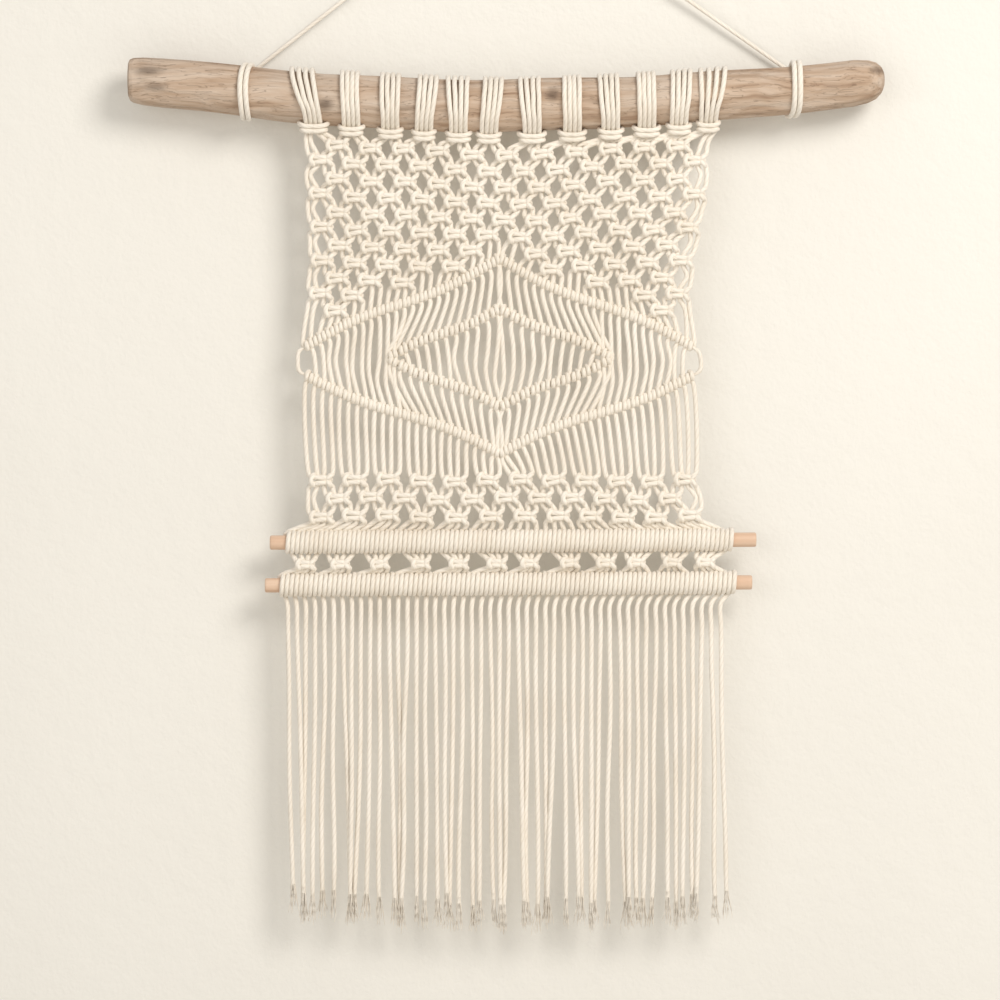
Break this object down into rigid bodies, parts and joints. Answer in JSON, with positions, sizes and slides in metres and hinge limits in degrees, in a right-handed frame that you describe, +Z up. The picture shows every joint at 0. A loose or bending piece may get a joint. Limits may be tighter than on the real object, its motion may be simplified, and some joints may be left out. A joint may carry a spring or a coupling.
{
  "type": "macrame wall hanging on a driftwood branch",
  "caption": "Knotted cotton macrame wall hanging on a bowed driftwood branch, with nets, a lozenge panel, hitched dowels, a long fringe and a hanging string.",
  "frame": {"origin": "the nail's top, under the bend of the hanging string", "axes": "+Z up, +X to the viewer's right, +Y towards the wall, so the front faces -Y"},
  "size_m": [0.4746, 0.0394, 0.6651],
  "materials": {
    "cotton": "matte twisted cotton cord",
    "driftwood": "weathered, dry and matte",
    "birch": "plain sanded birch"
  },
  "bodies": {
    "root": {"driftwood": "driftwood", "hanging_string": "cotton", "string_wrap_left": "cotton", "string_wrap_right": "cotton", "mounting_knot_01": "cotton", "mounting_knot_02": "cotton", "mounting_knot_03": "cotton", "mounting_knot_04": "cotton", "mounting_knot_05": "cotton", "mounting_knot_06": "cotton", "mounting_knot_07": "cotton", "mounting_knot_08": "cotton", "mounting_knot_09": "cotton", "mounting_knot_10": "cotton", "mounting_knot_11": "cotton", "mounting_knot_12": "cotton", "upper_net": "cotton", "ridge_upper": "cotton", "ridge_inner": "cotton", "ridge_lower": "cotton", "field_outer": "cotton", "field_inner": "cotton", "lower_curtain": "cotton", "lower_net": "cotton", "dowel_upper": "birch", "dowel_lower": "birch", "band_upper": "cotton", "band_lower": "cotton", "bridge_knot_01": "cotton", "bridge_knot_02": "cotton", "bridge_knot_03": "cotton", "bridge_knot_04": "cotton", "bridge_knot_05": "cotton", "bridge_knot_06": "cotton", "bridge_knot_07": "cotton", "bridge_knot_08": "cotton", "bridge_knot_09": "cotton", "bridge_knot_10": "cotton", "bridge_knot_11": "cotton", "bridge_knot_12": "cotton", "fringe": "cotton"}
  },
  "joints": []
}
